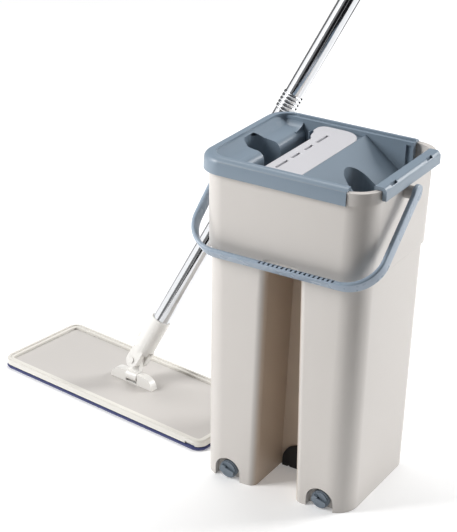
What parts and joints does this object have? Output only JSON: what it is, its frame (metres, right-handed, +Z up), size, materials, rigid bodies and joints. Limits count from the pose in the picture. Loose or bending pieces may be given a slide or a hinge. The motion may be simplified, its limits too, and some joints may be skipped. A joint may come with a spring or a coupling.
{
  "type": "mop and bucket with wringer",
  "caption": "Tall two-chamber bucket with a lift-off wringer lid, swinging bail and drain plugs, beside a flat mop with a jointed chrome pole.",
  "frame": {"origin": "centre of the bucket's base, on the floor", "axes": "+X to the right along the bucket's front face, +Y to its back, +Z up"},
  "size_m": [0.6377, 0.4829, 1.1424],
  "materials": {
    "tub_cream": "glossy",
    "rubber_black": "matte",
    "lid_blue_grey": "satin",
    "panel_lilac": "satin",
    "slate_plastic": "satin",
    "roller_plastic": "satin",
    "steel": "plain",
    "bearing_red": "satin",
    "bail_blue": "glossy",
    "frame_cream": "glossy",
    "deck_grey": "satin",
    "hook_fabric": "matte",
    "pad_navy": "matte",
    "chrome": "polished",
    "grip_blue_grey": "satin"
  },
  "bodies": {
    "bucket": {"tub": "tub_cream", "rear_foot": "rubber_black"},
    "lid_unit": {"lid": "lid_blue_grey", "wringer_panel": "panel_lilac", "squeegee_holder": "slate_plastic", "squeegee_blade": "rubber_black", "roller_axle": "steel", "roller_bearing_front": "bearing_red", "roller_bearing_back": "bearing_red"},
    "roller": {"wringer_roller": "roller_plastic"},
    "bar_unit": {"end_bar": "lid_blue_grey", "wash_scraper": "slate_plastic"},
    "bail_unit": {"bail": "bail_blue"},
    "seal_left": {"plug_seal_left": "rubber_black"},
    "plug_left": {"drain_plug_left": "slate_plastic"},
    "seal_right": {"plug_seal_right": "rubber_black"},
    "plug_right": {"drain_plug_right": "slate_plastic"},
    "mop_head": {"mop_frame": "frame_cream", "mop_deck": "deck_grey", "deck_screws": "steel", "hook_strips": "hook_fabric", "mop_pad": "pad_navy", "hinge_base": "frame_cream", "hinge_pin_lower": "steel"},
    "knuckle_unit": {"knuckle": "frame_cream"},
    "pole": {"hinge_pin_upper": "frame_cream", "pole_socket": "frame_cream", "tube_lower": "chrome", "thread_collar_lower": "chrome", "coupler_lower": "slate_plastic", "tube_middle": "chrome", "thread_collar_upper": "chrome", "coupler_upper": "slate_plastic", "tube_upper": "chrome", "grip": "grip_blue_grey", "grip_cap": "slate_plastic"}
  },
  "joints": [
    {"name": "lid_lift", "type": "slide", "parent": "bucket", "child": "lid_unit", "axis": [0, 0, 1], "range_m": [0, 0.08]},
    {"name": "roller_spin", "type": "hinge", "parent": "lid_unit", "child": "roller", "pos_m": [-0.025, 0, 0.351], "axis": [0, 1, 0], "continuous": true},
    {"name": "bar_lift", "type": "slide", "parent": "bucket", "child": "bar_unit", "axis": [0, 0, 1], "range_m": [0, 0.06]},
    {"name": "bail_swing", "type": "hinge", "parent": "bucket", "child": "bail_unit", "pos_m": [0, 0, 0.345], "axis": [-1, 0, 0], "range_deg": [0, 261]},
    {"name": "plug_left_travel", "type": "slide", "parent": "bucket", "child": "seal_left", "axis": [0, -1, 0], "range_m": [0, 0.009]},
    {"name": "plug_left_turn", "type": "hinge", "parent": "seal_left", "child": "plug_left", "pos_m": [-0.056, -0.07, 0.0105], "axis": [0, -1, 0], "range_deg": [0, 1080]},
    {"name": "plug_right_travel", "type": "slide", "parent": "bucket", "child": "seal_right", "axis": [0, -1, 0], "range_m": [0, 0.009]},
    {"name": "plug_right_turn", "type": "hinge", "parent": "seal_right", "child": "plug_right", "pos_m": [0.056, -0.07, 0.0105], "axis": [0, -1, 0], "range_deg": [0, 1080]},
    {"name": "mop_lift", "type": "slide", "parent": "bucket", "child": "mop_head", "axis": [-0.6, 0, 0.8], "range_m": [0, 0.15]},
    {"name": "mop_knuckle", "type": "hinge", "parent": "mop_head", "child": "knuckle_unit", "pos_m": [-0.252, 0.038, 0.018], "axis": [-0.989, 0.1478, 0], "range_deg": [-85, 48]},
    {"name": "pole_fork", "type": "hinge", "parent": "knuckle_unit", "child": "pole", "pos_m": [-0.25104, 0.04443, 0.03585], "axis": [0.1389, 0.9294, -0.342], "range_deg": [-85, 6]}
  ],
  "couplings": [
    {"joint": "plug_left_travel", "follows": "plug_left_turn", "m_per_rad": 0.00047746},
    {"joint": "plug_right_travel", "follows": "plug_right_turn", "m_per_rad": 0.00047746}
  ]
}
